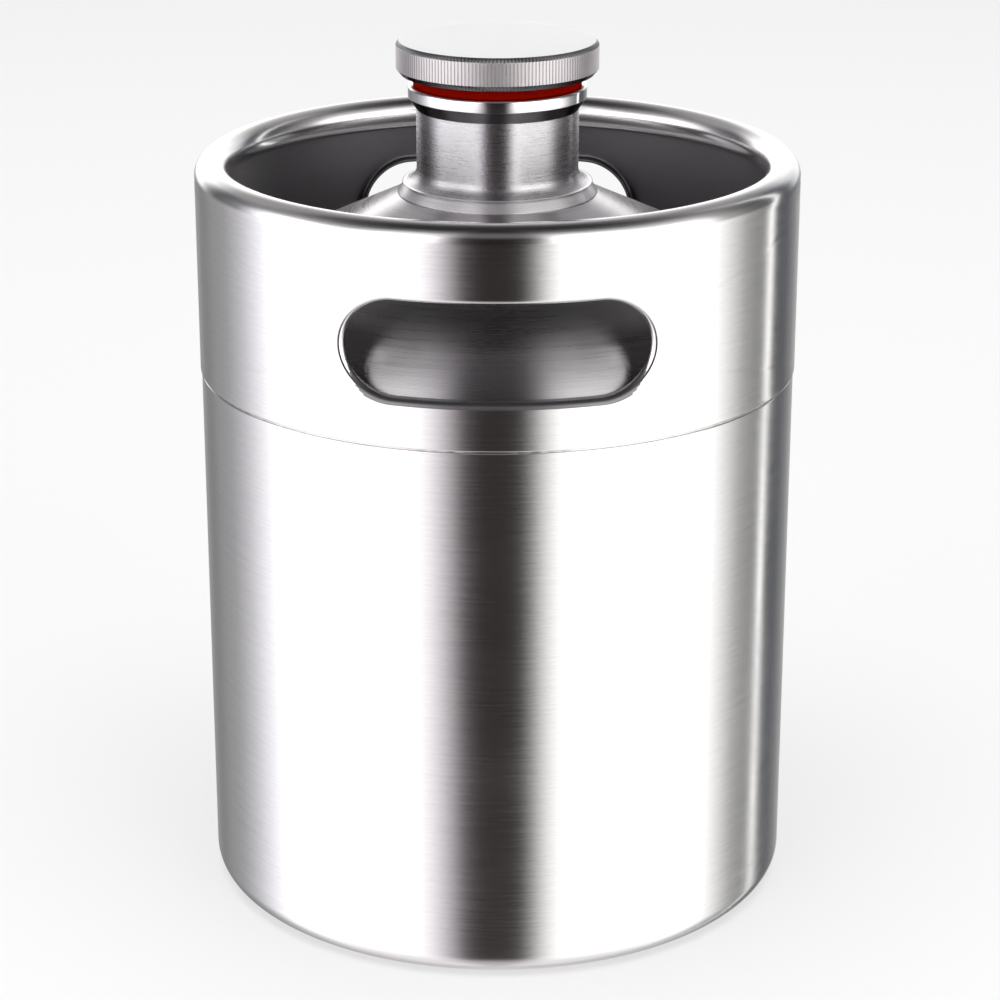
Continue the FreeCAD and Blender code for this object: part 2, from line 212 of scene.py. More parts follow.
class Shading:
    """Short ways to add nodes to a tree. Values are numbers, colours or other nodes' outputs, and each way gives back
    the new node's output."""

    def __init__(self, tree):
        self.nodes, self.links = tree.nodes, tree.links

    def feed(self, socket, value):
        """A number or colour is set on the socket itself; an output is joined to it."""
        if isinstance(value, bpy.types.NodeSocket):
            self.links.new(value, socket)
        else:
            socket.default_value = value

    def math(self, operation, *values):
        node = self.nodes.new("ShaderNodeMath")
        node.operation = operation
        for socket, value in zip(node.inputs, values):
            self.feed(socket, value)
        return node.outputs[0]

    def scaled(self, color, factor):
        node = self.nodes.new("ShaderNodeVectorMath")
        node.operation = "SCALE"
        self.feed(node.inputs[0], color)
        self.feed(node.inputs["Scale"], factor)
        return node.outputs[0]

    def blended(self, share, first, second):
        """The first colour where share is 0, the second where it is 1."""
        node = self.nodes.new("ShaderNodeMix")
        node.data_type = "RGBA"
        share_in, first_in, second_in = node.inputs[0], node.inputs[6], node.inputs[7]
        self.feed(share_in, share)
        self.feed(first_in, first)
        self.feed(second_in, second)
        return node.outputs[2]

    def remap(self, value, span, onto):
        """The value's span, given as (low, high), stretched onto another, with nothing outside it."""
        node = self.nodes.new("ShaderNodeMapRange")
        labels = ("Value", "From Min", "From Max", "To Min", "To Max")
        for label, number in zip(labels, (value, *span, *onto)):
            self.feed(node.inputs[label], number)
        return node.outputs[0]

    def noise(self, place, scale, detail, roughness):
        node = self.nodes.new("ShaderNodeTexNoise")
        self.feed(node.inputs["Vector"], place)
        self.feed(node.inputs["Scale"], scale)
        self.feed(node.inputs["Detail"], detail)
        self.feed(node.inputs["Roughness"], roughness)
        return node.outputs["Fac"]

    def relief(self, height, strength, distance):
        """A surface direction tilted by a pattern's height; distance is in metres."""
        node = self.nodes.new("ShaderNodeBump")
        self.feed(node.inputs["Strength"], strength)
        self.feed(node.inputs["Distance"], distance)
        self.feed(node.inputs["Height"], height)
        return node.outputs[0]


def new_material(name):
    """A material with its shader's inputs and the ways to add nodes to it."""
    made = bpy.data.materials.new(name)
    made.use_nodes = True
    return made, made.node_tree.nodes["Principled BSDF"].inputs, Shading(made.node_tree)


def steel(name, color, roughness, grain, anisotropy=0.7, streak=0.5, relief=1.0, metallic=1.0, painted_shade_by_radius=None,
          stroke=1.0):
    """Stainless steel brushed round the axis. The grain is noise squeezed along (height - 0.6 radius) and drawn out
    round the axis, so it follows walls, cones and turned faces alike; it changes roughness and tint a little and
    raises a shallow relief. A larger grain is finer, a larger stroke longer; streak and relief are its strength in
    the tint and in the surface. Shade can be painted in by radius: given (near, far, left), the tint falls from whole
    at the near radius to the share left at the far one, in millimetres, as painted shade."""
    made, inputs, shading = new_material(name)
    math_node = shading.math
    inputs["Metallic"].default_value = metallic
    inputs["Anisotropic"].default_value = anisotropy
    inputs["Anisotropic Rotation"].default_value = 0.25
    tangent = shading.nodes.new("ShaderNodeTangent")
    tangent.direction_type, tangent.axis = "RADIAL", "Z"
    shading.feed(inputs["Tangent"], tangent.outputs[0])

    place = shading.nodes.new("ShaderNodeTexCoord")
    apart = shading.nodes.new("ShaderNodeSeparateXYZ")
    shading.feed(apart.inputs[0], place.outputs["Object"])
    x, y, z = apart.outputs
    radius = math_node("SQRT", math_node("MULTIPLY_ADD", x, x, math_node("MULTIPLY_ADD", y, y, 1e-6)))
    squeezed = math_node("SUBTRACT", z, math_node("MULTIPLY", radius, 0.6))

    def strokes(along, across, detail, shift):
        """Noise with strokes 1 / along metres long and 1 / across metres wide; shift sets one noise off another."""
        joined = shading.nodes.new("ShaderNodeCombineXYZ")
        shading.feed(joined.inputs[0], math_node("MULTIPLY", x, along))
        shading.feed(joined.inputs[1], math_node("MULTIPLY", y, along))
        shading.feed(joined.inputs[2], math_node("MULTIPLY_ADD", squeezed, across, shift))
        return shading.noise(joined.outputs[0], scale=1.0, detail=detail, roughness=0.6)

    long_strokes = strokes(along=45.0 / stroke, across=1700.0 * grain, detail=3.0, shift=0.0)
    short_strokes = strokes(along=320.0 / stroke, across=3300.0 * grain, detail=2.0, shift=31.0)
    clouds = strokes(along=24.0, across=30.0, detail=2.0, shift=77.0)

    middle = (0.3, 0.7)     # where most of a noise's values lie
    uneven = math_node("ADD", shading.remap(long_strokes, middle, (-0.05 * streak, 0.06 * streak)),
                       shading.remap(clouds, middle, (-0.02, 0.02)))
    shading.feed(inputs["Roughness"], math_node("ADD", uneven, roughness))

    dark = [channel * (1 - 0.16 * streak) for channel in color]
    both = math_node("MULTIPLY_ADD", short_strokes, 0.5, math_node("MULTIPLY", long_strokes, 0.5))
    shade = shading.blended(shading.remap(both, (0.36, 0.6), (0.0, 1.0)), (*dark, 1), (*color, 1))
    # Painted shade: the tint is darkened by radius, standing in for the shade of a recess or crease.
    if painted_shade_by_radius:
        near, far, left = painted_shade_by_radius
        shade = shading.scaled(shade, shading.remap(radius, (near * MM, far * MM), (1.0, left)))
    shading.feed(inputs["Base Color"], shade)

    height = math_node("MULTIPLY_ADD", short_strokes, 0.6, math_node("MULTIPLY", long_strokes, 0.5))
    shading.feed(inputs["Normal"], shading.relief(height, strength=0.35 * relief, distance=0.00006))
    return made


def silicone():
    """Soft red silicone: even colour with a faint cloud, a satin surface and a little light let in."""
    made, inputs, shading = new_material("red silicone")
    inputs["Roughness"].default_value = 0.55
    inputs["Subsurface Weight"].default_value = 0.15
    inputs["Subsurface Scale"].default_value = 0.001
    inputs["Specular IOR Level"].default_value = 0.0
    place = shading.nodes.new("ShaderNodeTexCoord")
    cloud = shading.noise(place.outputs["Object"], scale=900.0, detail=4.0, roughness=0.5)
    deep, pale = (0.20, 0.0024, 0.0006, 1), (0.26, 0.0045, 0.0012, 1)
    shading.feed(inputs["Base Color"], shading.blended(cloud, deep, pale))
    shading.feed(inputs["Normal"], shading.relief(cloud, strength=0.3, distance=0.00003))
    return made


# Each steel's colour, roughness and grain, and then what it has of its own.
STEEL = (0.80, 0.79, 0.78)
barrel_steel = steel("brushed barrel steel", STEEL, 0.20, 1.2, streak=0.4, relief=0.6)
skirt_steel = steel("brushed skirt steel", STEEL, 0.19, 1.2, streak=0.4, relief=0.6)
# The shoulder's tint is painted down to half from 38 to 50 mm out: painted shade where it runs into the recess under
# the skirt.
shoulder_steel = steel("brushed shoulder steel", (0.74, 0.72, 0.73), 0.28, 0.7, anisotropy=0.9, streak=0.6,
                       relief=0.8, painted_shade_by_radius=(38, 50, 0.5), stroke=3.0)
# The neck's tint is painted a little darker beyond the tube's radius: painted shade in the fillet above the flange
# and under it.
neck_steel = steel("turned neck steel", (0.78, 0.76, 0.775), 0.27, 1.7, anisotropy=1.0, streak=0.8, relief=2.2,
                   painted_shade_by_radius=(17.95, 18.6, 0.8), stroke=0.25)
flange_steel = steel("turned flange steel", (0.84, 0.82, 0.83), 0.30, 1.3, anisotropy=0.8, streak=0.6, relief=2.2,
                     metallic=0.86, stroke=0.3)
collar_steel = steel("polished collar steel", (0.80, 0.79, 0.79), 0.11, 1.2, anisotropy=0.6, streak=0.3, relief=0.5)
# The neck's bevel is the same turned steel; its dark tone is a painted dark reflection.
bevel_painted_dark_steel = steel("bevel steel with painted dark reflection", (0.17, 0.165, 0.17), 0.22, 0.8, streak=0.5)
cap_steel = steel("faced cap steel", (0.61, 0.61, 0.61), 0.42, 1.2, anisotropy=0.0, streak=0.2, relief=0.4,
                  metallic=0.35)
knurl_steel = steel("knurled cap steel", (0.60, 0.57, 0.575), 0.44, 1.2, anisotropy=0.0, streak=0.3, relief=0.4)
# The cap's chamfers are the cap's own steel; their dark tone is painted dark reflection and shade.
chamfer_painted_dark_steel = steel("turned chamfer steel with painted dark reflection and shade", (0.24, 0.235, 0.245), 0.16, 1.2, streak=0.3, relief=0.4)
base_steel = steel("plain base steel", (0.70, 0.69, 0.68), 0.28, 0.5, anisotropy=0.3, streak=0.4)
weld_steel = steel("dressed weld steel", (0.68, 0.66, 0.64), 0.26, 0.8, anisotropy=0.2, streak=0.8, relief=2.0)
# Dark steel painted in for shade: the skirt's inside and a slot's lower bend are the same steel, darkened here as
# painted shade.
painted_shade_steel = steel("inner steel with painted shade", (0.19, 0.182, 0.190), 0.40, 0.5, anisotropy=0.2, streak=0.3, relief=0.4)
red_silicone = silicone()


# ---------------------------------------------------------------- barrel, base and shoulder

FOOT_CORNER_R, FOOT_TURN_R, FOOT_LIP_Z = 5.2, 2.0, 5.0
FOOT_INNER_R = DISH_R - SHEET


def barrel():
    """Closed sheet section: wall, rounded lower corner, narrow flat, turned-up inner edge, and back inside."""
    outer = [
        (BARREL_R - SHEET, BARREL_TOP, 0.1), (BARREL_R, BARREL_TOP, 0.22),
        (BARREL_R, 0.0, FOOT_CORNER_R), (FOOT_INNER_R, 0.0, FOOT_TURN_R), (FOOT_INNER_R, FOOT_LIP_Z, 0.1),
    ]
    inner = [
        (FOOT_INNER_R + SHEET, FOOT_LIP_Z, 0.1), (FOOT_INNER_R + SHEET, SHEET, FOOT_TURN_R - SHEET),
        (BARREL_R - SHEET, SHEET, FOOT_CORNER_R - SHEET),
    ]
    section = rounded((outer + inner)[::-1])
    ring_piece("barrel", section, 360, replaces=["body_shell"], slot="barrel_steel", material=barrel_steel)


def base():
    """Closed sheet section from the axis out: crowned panel, rounded corner, flange, and back above."""
    panel_edge, corner = FOOT_INNER_R - 2.5, 2.5
    low_edge, crown = DISH_TOP - SHEET - 2.0, 2.0
    out = np.linspace(0, 1, 24)[:, None]

    def panel(rise):
        radius = panel_edge * out
        return np.hstack([radius, low_edge + crown * (1 - out ** 2) + rise])

    turn = np.radians(np.linspace(90, 0, 12))[:, None]
    arc = np.hstack([np.cos(turn), np.sin(turn)])
    middle = np.array([[panel_edge, low_edge - corner]])
    outside = np.concatenate([panel(0.0), middle + arc[1:] * corner, [[FOOT_INNER_R, DISH_FOOT]]])
    inside = np.concatenate([panel(SHEET), middle + arc[1:] * (corner + SHEET), [[DISH_R, DISH_FOOT]]])
    profile = np.concatenate([outside, inside[::-1]])
    pole_piece("base", profile, 240, replaces=["base_dish"], slot="base_steel", material=base_steel)


SHOULDER_R, SHOULDER_BEND_Z, SHOULDER_SLOPE = 34.0, 119.0, math.radians(25.0)
KNUCKLE = np.array([SHOULDER_LAND_R - SHOULDER_R, SHOULDER_BEND_Z])


def shoulder_z(radius):
    """Height of the shoulder's outer cone at a radius."""
    foot = KNUCKLE + SHOULDER_R * np.array([math.sin(SHOULDER_SLOPE), math.cos(SHOULDER_SLOPE)])
    return foot[1] + (foot[0] - radius) * math.tan(SHOULDER_SLOPE)


def shoulder():
    """Closed sheet section: land, knuckle arc, cone to the neck's hole, and back inside."""
    hole_r = TUBE_R + 0.05

    def skin(depth):
        turn = np.linspace(0, math.pi / 2 - SHOULDER_SLOPE, 32)[:, None]
        knuckle = KNUCKLE + (SHOULDER_R - depth) * np.hstack([np.cos(turn), np.sin(turn)])
        edge = [[hole_r, shoulder_z(hole_r) - depth / math.cos(SHOULDER_SLOPE)]]
        cone = knuckle[-1] + (np.array(edge) - knuckle[-1]) * np.linspace(0, 1, 14)[1:, None]
        return np.concatenate([[[SHOULDER_LAND_R - depth, SHOULDER_FOOT]], knuckle, cone])

    section = np.concatenate([skin(0.0), skin(SHEET)[::-1]])
    ring_piece("shoulder", section, 288, replaces=["shoulder_dome"], slot="shoulder_steel", material=shoulder_steel)


def girth_bead():
    """Narrow bead in the seam; its face swells and dips a little round the keg, as dressed weld does."""
    face_r, back_r = BARREL_R - 0.2, BARREL_R - 0.68
    swell_height, waves = 0.06, (7, 23, 61, 131)
    section = rounded([
        (back_r, BARREL_TOP, 0.0), (face_r, BARREL_TOP, 0.1), (face_r, SKIRT_FOOT, 0.1), (back_r, SKIRT_FOOT, 0.0),
    ], step=0.1)

    def uneven(radius, angle, height):
        swell = sum(np.sin(angle * n + n * n) for n in waves) / len(waves)
        return radius + swell_height * swell * (radius > face_r - 0.2), angle, height

    ring_piece("girth_bead", section, 720, uneven, replaces=["girth_weld"], slot="weld_steel", material=weld_steel)


# ---------------------------------------------------------------- skirt

HALF_TOP = 180              # columns in half a turn of the skirt
SIDE_STEPS = 36             # rows in the skirt's wall
SLOT_FLAT = 88              # columns along a slot's straight side
OUTER_ROWS, INNER_ROWS = 18, 10     # rings between slot and border on the wall's two faces
BEND_ROWS, LIP_ROWS = 10, 4         # rings in a slot's bend and lip
CURL_Z = RIM_TOP - CURL_R
WALL_LOW, WALL_HIGH = SKIRT_FOOT + 0.3, CURL_Z      # where the wall ends and its lower edge and curl begin
SLOT_END_R = SLOT_HEIGHT / 2
SLOT_STRAIGHT = (SLOT_WIDTH - SLOT_HEIGHT) / 2      # half the length of a slot's straight side
DENT, DENT_START, DENT_RISE, DENT_REACH = 0.3, 0.4, 3.0, 4.0    # depth of the dip beside a slot's ends, and where


def wall_border():
    """Border of half the wall, unrolled: angle and height, anticlockwise seen from outside, from the lower left."""
    across = np.linspace(-math.pi / 2, math.pi / 2, HALF_TOP + 1)
    rise = np.linspace(WALL_LOW, WALL_HIGH, SIDE_STEPS + 1)
    return np.concatenate([
        np.stack([across[:-1], np.full(HALF_TOP, WALL_LOW)], -1),
        np.stack([np.full(SIDE_STEPS, math.pi / 2), rise[:-1]], -1),
        np.stack([across[:0:-1], np.full(HALF_TOP, WALL_HIGH)], -1),
        np.stack([np.full(SIDE_STEPS, -math.pi / 2), rise[:0:-1]], -1),
    ])


def slot_outline():
    """Outline of a slot in as many points as the border: x and height off the slot's middle, and with them the
    direction away from the slot."""
    round_count = HALF_TOP - SLOT_FLAT + SIDE_STEPS
    spin = np.linspace(-math.pi / 2, math.pi / 2, round_count + 1)
    cosine, sine = np.cos(spin), np.sin(spin)
    right = np.stack([SLOT_STRAIGHT + SLOT_END_R * cosine, SLOT_END_R * sine, cosine, sine], -1)
    run = np.linspace(-SLOT_STRAIGHT, SLOT_STRAIGHT, SLOT_FLAT + 1)
    level = np.ones(SLOT_FLAT + 1)
    bottom = np.stack([run, -SLOT_END_R * level, 0.0 * level, -level], -1)
    outline = np.concatenate([bottom[:-1], right[:-1], -bottom[:-1], -right[:-1]])
    outline = np.roll(outline, (HALF_TOP - SLOT_FLAT) // 2, 0)
    return outline[:, :2], outline[:, 2:]


def on_wall(x, z, radius):
    """The point of the -Y wall at that x and height."""
    return np.stack([x, -np.sqrt(radius ** 2 - x ** 2), z], -1)


def dent(spread, radius):
    """How far the wall is drawn in beside a slot's rounded ends: a soft dip that rises over DENT_RISE from
    DENT_START off the slot and fades as exp(-(off / DENT_REACH) squared)."""
    x = np.abs(spread[..., 0]) * radius
    z = spread[..., 1] - SLOT_MID_Z
    end_x = radius * math.asin(SLOT_STRAIGHT / radius)
    beyond = np.clip(x - end_x, 0, None)
    off = np.hypot(beyond, z) - SLOT_END_R
    side = beyond / np.maximum(np.hypot(beyond, z), 1e-9)
    fade = np.exp(-np.clip(off, 0, None) ** 2 / DENT_REACH ** 2)
    return DENT * side ** 2 * fade * smooth((off - DENT_START) / DENT_RISE)


def wall_skin(radius, bend_r, grow, rows):
    """Inner or outer face of half the wall, of that radius: from the lip's end through its bend and out over the
    wall to the border, as rows of points. grow is how far the slot is wider than its opening."""
    border = wall_border()
    hole, away = slot_outline()
    still = np.zeros(len(border))
    x, z = (hole + away * grow).T
    z = z + SLOT_MID_Z
    corner = on_wall(x, z, radius)
    normal = np.stack([x, corner[:, 1], still], -1) / radius
    flat_away = np.stack([away[:, 0], still, away[:, 1]], -1)
    over = flat_away - normal * (flat_away * normal).sum(-1, keepdims=True)
    over /= np.linalg.norm(over, axis=-1, keepdims=True)
    outwards = np.array([0.0, -1.0, 0.0])
    turn = np.arccos(np.clip((over * outwards).sum(-1), -1, 1))

    # Arc from (corner - outwards reach) to (corner + over reach), tangent to both.
    reach = bend_r * np.tan(turn / 2)
    start = corner - outwards * reach[:, None]
    bent = np.linspace(0, 1, BEND_ROWS)[:, None] * turn
    sideways = (over - outwards * np.cos(turn)[:, None]) / np.sin(turn)[:, None]
    arc = (
        start[None]
        + outwards * (bend_r * np.sin(bent))[..., None]
        + sideways[None] * (bend_r * (1 - np.cos(bent)))[..., None]
    )
    # The wall curves away under the bend's flat end, so each point is drawn in by what it stands out.
    excess = np.hypot(arc[-1, :, 0], arc[-1, :, 1]) - radius
    share = (1 - np.cos(bent)) / (1 - np.cos(turn))
    inward = np.stack([arc[..., 0], arc[..., 1], np.zeros(arc.shape[:2])], -1)
    inward /= np.linalg.norm(inward, axis=-1, keepdims=True)
    arc = arc - inward * (excess * share ** 2)[..., None]

    lip_y = on_wall(hole[:, 0], z, SKIRT_R - SLOT_LIP)[:, 1]
    lip_end = np.stack([x, lip_y, z], -1)
    lip = lip_end + (arc[0] - lip_end) * np.linspace(0, 1, LIP_ROWS + 1)[:-1, None, None]

    # Over the wall: unrolled straight lines from the bend to the border, closer together near the slot.
    first = np.stack([np.arctan2(arc[-1, :, 0], -arc[-1, :, 1]), arc[-1, :, 2]], -1)
    ease = (np.linspace(0, 1, rows + 1)[1:] ** 1.6)[:, None, None]
    spread = first + (border - first) * ease
    round_by, height = spread[..., 0], spread[..., 1]
    local_r = radius - dent(spread, radius)
    wall = np.stack([local_r * np.sin(round_by), -local_r * np.cos(round_by), height], -1)
    return np.concatenate([lip, arc, wall])


def rim_section():
    """From the wall's outer border round the curl to its inner border, in (radius, height)."""
    turn = np.radians(np.linspace(0, CURL_TURN, 59))[:, None]
    arc = np.hstack([np.cos(turn), np.sin(turn)])
    middle = np.array([[SKIRT_R - CURL_R, CURL_Z]])
    outer, inner = middle + CURL_R * arc, middle + (CURL_R - SHEET) * arc
    edge = (outer[-1] + inner[-1]) / 2
    return np.concatenate([outer, [edge], inner[::-1]])


def foot_section():
    """From the wall's inner border round the lower edge to its outer border, in (radius, height)."""
    return rounded([
        (SKIRT_R - SHEET, WALL_LOW, 0.0), (SKIRT_R - SHEET, SKIRT_FOOT, 0.1),
        (SKIRT_R, SKIRT_FOOT, 0.28), (SKIRT_R, WALL_LOW, 0.0),
    ], step=0.3, turn_step=15, closed=False)


def skirt():
    """Skirt wall in two halves, each one grid that runs from the wall's inner border through the slot's lip to its
    outer border, closed by the curl above and the edge below."""
    outside = wall_skin(SKIRT_R, SLOT_BEND_R, 0.0, OUTER_ROWS)
    inside = wall_skin(SKIRT_R - SHEET, SLOT_BEND_R - SHEET, SHEET, INNER_ROWS)
    half = np.concatenate([inside[::-1], outside])
    half_turned = half * np.array([-1.0, -1.0, 1.0])
    points = np.concatenate([half.reshape(-1, 3), half_turned.reshape(-1, 3)])
    rows, count = half.shape[:2]
    quads = grid_faces(rows, count, False, True)[:, ::-1]
    faces = [quads, quads + rows * count]

    # The curl and the edge are bands whose columns fall on the halves' border points.
    columns = 2 * HALF_TOP
    for section in (rim_section(), foot_section()):
        faces.append(grid_faces(len(section), columns, False, True) + len(points))
        points = np.concatenate([points, lathed(section, columns).reshape(-1, 3)])
    points, faces = merged(points, np.concatenate(faces))

    # Painted shade: the whole inner face and lip, in the recess behind the wall, and the outer bend along a slot's
    # lower side, running out up its ends, take a dark steel that stands in for the shade there.
    row, column = np.divmod(np.arange(len(quads)), count)
    bend_row = INNER_ROWS + BEND_ROWS + 2 * LIP_ROWS
    inner = row < bend_row - LIP_ROWS
    downward = -slot_outline()[1][column, 1]
    lower_bend = (row >= bend_row) & (row < bend_row + BEND_ROWS * smooth(1.2 * downward - 0.2))
    painted_shade_faces = np.zeros(len(faces), bool)
    painted_shade_faces[:2 * len(quads)] = np.tile(inner | lower_bend, 2)
    piece("skirt", points, faces, replaces=["top_skirt"], slot="skirt_steel", material=skirt_steel,
          others=[(painted_shade_steel, painted_shade_faces)])


# ---------------------------------------------------------------- neck, cap and washer

def neck():
    """Closed turned section: fillet, tube, bevel, collar, mouth, threaded bore, lower end and bevelled flange."""
    flange_low = shoulder_z(FLANGE_R)
    flange_top_r, flange_top, fillet_r = 20.6, 163.75, 3.2
    bevel_low, collar_low = MOUTH_Z - 5.3, MOUTH_Z - 2.6
    countersink, thread_foot, thread_rows = 1.7, 170.0, 92
    section = rounded([
        (TUBE_R, NECK_FOOT, 0.1), (TUBE_R, shoulder_z(TUBE_R), 0.0), (FLANGE_R, flange_low, 0.1),
        (FLANGE_R, flange_low + 0.3, 0.15), (flange_top_r, flange_top, 0.5), (TUBE_R, flange_top, fillet_r),
        (TUBE_R, bevel_low, 0.25), (COLLAR_R, collar_low, 0.2), (COLLAR_R, MOUTH_Z, 0.55),
        (BORE_R + countersink, MOUTH_Z, 0.25), (BORE_R, MOUTH_Z - countersink, 0.2),
    ], step=1.0, closed=False)
    heights = np.linspace(MOUTH_Z - countersink - 0.2, thread_foot, thread_rows)
    bore = np.stack([np.full(thread_rows, BORE_R), heights], -1)
    plain = rounded([
        (BORE_R, thread_foot - 1.0, 0.0), (BORE_R, NECK_FOOT, 0.15), (TUBE_R, NECK_FOOT, 0.0),
    ], step=2.0, closed=False)
    section = np.concatenate([section[1:], bore, plain])

    def threaded(radius, angle, height):
        """The groove cuts the bore out to its root, and less where the countersink is wider already."""
        inside = radius < BORE_R + countersink + 0.2
        cut = thread_depth(angle, height, crest=0.5, foot=1.15, low_turn=0.0, high_turn=5.5)
        allowed = np.clip(BORE_R + THREAD_DEPTH - radius, 0, None) * (height > thread_foot - 0.5)
        return radius + np.where(inside, cut * allowed, 0.0), angle, height

    columns = 240
    radius, height = ((section + np.roll(section, -1, 0)) / 2).T
    slanting = (radius > TUBE_R + 0.1) & (radius < COLLAR_R - 0.05)
    # The bevel's faces take the dark steel: a painted dark reflection.
    bevel = slanting & (height > bevel_low - 0.05) & (height < collar_low + 0.05)
    collar = (radius > BORE_R + countersink - 0.1) & (height > collar_low)
    flange = (radius > flange_top_r - 0.2) & (height < flange_top + fillet_r)
    ring_piece("mouth", section, columns, threaded, replaces=["neck"], slot="neck_steel", material=neck_steel,
               others=[(bevel_painted_dark_steel, np.repeat(bevel, columns)), (collar_steel, np.repeat(collar, columns)),
                       (flange_steel, np.repeat(flange, columns))])


KNURL_COUNT = 174
RIB_PLACES = np.array([0.08, 0.62, 0.78, 0.92])     # columns across a rib: its land's two edges, its groove's two
KNURL_DEPTH, KNURL_FADE = 0.22, 0.32                # the grooves run out over this much of the radius
PLUG_R, HOLLOW_R = 15.0, 11.8


def cap():
    """Open turned section from the middle of the top, out over the knurled rim, in under the head, down the threaded
    plug and up its hollow. Columns come four to a rib: two on its land and two in the groove."""
    under = WASHER_TOP
    top_r, band_high, band_low, foot_r = CAP_R - 0.7, CAP_TOP - 1.0, under + 1.2, CAP_R - 1.0
    land_r, land_low = PLUG_R + 0.2, under - 2.9
    tip_chamfer, hollow_top = 0.8, CAP_TOP - 3.9
    head = rounded([
        (0.0, CAP_TOP, 0.0), (top_r, CAP_TOP, 0.2), (CAP_R, band_high, 0.15),
        (CAP_R, band_low, 0.15), (foot_r, under, 0.15), (land_r, under, 0.1), (land_r, land_low, 0.0),
    ], step=2.4, turn_step=15, closed=False)
    thread_rows = 66
    heights = np.linspace(under - 3.2, PLUG_TIP + 0.9, thread_rows)
    plug = np.stack([np.full(thread_rows, PLUG_R), heights], -1)
    hollow = rounded([
        (PLUG_R, PLUG_TIP + tip_chamfer, 0.0), (PLUG_R - tip_chamfer, PLUG_TIP, 0.1), (HOLLOW_R, PLUG_TIP, 0.2),
        (HOLLOW_R, hollow_top, 1.5), (0.0, hollow_top, 0.0),
    ], step=6.0, turn_step=22, closed=False)
    section = np.concatenate([head, plug, hollow])
    columns = KNURL_COUNT * len(RIB_PLACES)
    rib = (np.arange(columns) // len(RIB_PLACES) + np.tile(RIB_PLACES, KNURL_COUNT)) / KNURL_COUNT * TAU
    groove = np.tile([0.0, 0.0, 1.0, 1.0], KNURL_COUNT)

    def shaped(radius, angle, height):
        angle = np.repeat(rib[None], len(radius), 0)
        knurled = np.clip((radius - (CAP_R - KNURL_FADE)) / KNURL_FADE, 0, 1) * (height > under)
        cut = KNURL_DEPTH * knurled * groove[None]
        on_plug = (height < land_low - 0.05) & (radius > PLUG_R - 0.1)
        stands = thread_depth(angle, height, crest=0.3, foot=0.99, low_turn=1.25, high_turn=4.5)
        ridge = THREAD_DEPTH * stands * on_plug
        return radius - cut + ridge, angle, height

    section = section[::-1]
    radius, height = ((section[1:-2] + section[2:-1]) / 2).T
    upper = (radius > top_r - 0.02) & (height > band_high)
    lower = (radius > foot_r) & (height > under) & (height < band_low)
    band = (radius > CAP_R - 0.5) & (height > band_low) & (height < band_high)
    # The upper and lower chamfers take the dark steel: painted dark reflection and shade.
    chamfered, knurled_faces = np.repeat(upper | lower, columns), np.repeat(band, columns)
    made = pole_piece("cap", section, columns, shaped, replaces=["screw_cap"], body="cap", slot="cap_steel",
                      material=cap_steel, others=[(chamfer_painted_dark_steel, chamfered), (knurl_steel, knurled_faces)])
    # The knurl's faces are flat, with crisp edges.
    soft = np.ones(len(made.data.polygons), bool)
    soft[:len(knurled_faces)] = ~knurled_faces
    made.data.polygons.foreach_set("use_smooth", soft)


def washer():
    """Closed section with a slightly bulged rim."""
    hole_r, edge_r = PLUG_R + 0.6, WASHER_R - 0.12
    section = rounded([
        (hole_r, MOUTH_Z, 0.2), (edge_r, MOUTH_Z, 0.5), (WASHER_R, (MOUTH_Z + WASHER_TOP) / 2, 2.0),
        (edge_r, WASHER_TOP, 0.5), (hole_r, WASHER_TOP, 0.2),
    ], step=0.4)
    ring_piece("washer", section, 240, replaces=["cap_gasket"], body="gasket", slot="silicone",
               material=red_silicone)


barrel()
base()
shoulder()
girth_bead()
skirt()
neck()
cap()
washer()
for node in ("base_weld", "neck_weld"):
    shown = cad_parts[node]
    shown.data.materials.clear()
    shown.data.materials.append(weld_steel)


# ---------------------------------------------------------------- floor, light and camera

def floor():
    """Pale matte floor, a hair below the keg's foot."""
    half = 6.0
    mesh = bpy.data.meshes.new("floor")
    mesh.from_pydata([(-half, -half, 0), (half, -half, 0), (half, half, 0), (-half, half, 0)], [], [(0, 1, 2, 3)])
    made = bpy.data.objects.new("floor", mesh)
    bpy.context.scene.collection.objects.link(made)
    made.location.z = -0.0001
    paint, inputs, _ = new_material("floor paint")
    inputs["Base Color"].default_value = (0.32, 0.32, 0.32, 1)
    inputs["Roughness"].default_value = 0.9
    inputs["Specular IOR Level"].default_value = 0.0
    inputs["Emission Color"].default_value = (1, 1, 1, 1)
    inputs["Emission Strength"].default_value = 0.53
    mesh.materials.append(paint)
    made.visible_glossy = False


def soft_key():
    """One wide round lamp overhead."""
    light = bpy.data.lights.new("soft key", "AREA")
    light.shape, light.size = "DISK", 2.6
    light.energy = 68.0
    lamp = bpy.data.objects.new("soft key", light)
    lamp.location = (0.0, -0.3, 2.4)
    lamp.visible_glossy = False
    bpy.context.scene.collection.objects.link(lamp)


SLATE = (0.075, 0.078, 0.088)
DARK = (0.020, 0.016, 0.016)
# Brightness of the screens against bearing, in degrees from -Y towards +X.
SCREENS = [
    (-180, 0.5), (-168, 0.26), (-156, 0.17), (-148, 0.15), (-138, 0.21), (-125, (0.25, 0.25, 0.262)),
    (-113, (0.42, 0.415, 0.44)), (-101, (0.72, 0.71, 0.75)), (-92, (1.0, 0.99, 1.03)), (-34, 1.0),
    (-25, (0.66, 0.63, 0.67)), (-13, (0.06, 0.05, 0.052)), (-7, DARK), (9, DARK), (13, 0.16), (19, 0.62), (25, 0.9),
    (30, 1.05), (88, 1.0), (95, 0.74), (107, 0.30), (118, 0.17), (123, 0.17), (124.5, 1.3), (127, 1.3), (128.5, 0.06),
    (142, SLATE), (156, 0.19), (168, 0.36), (180, 0.5),
]
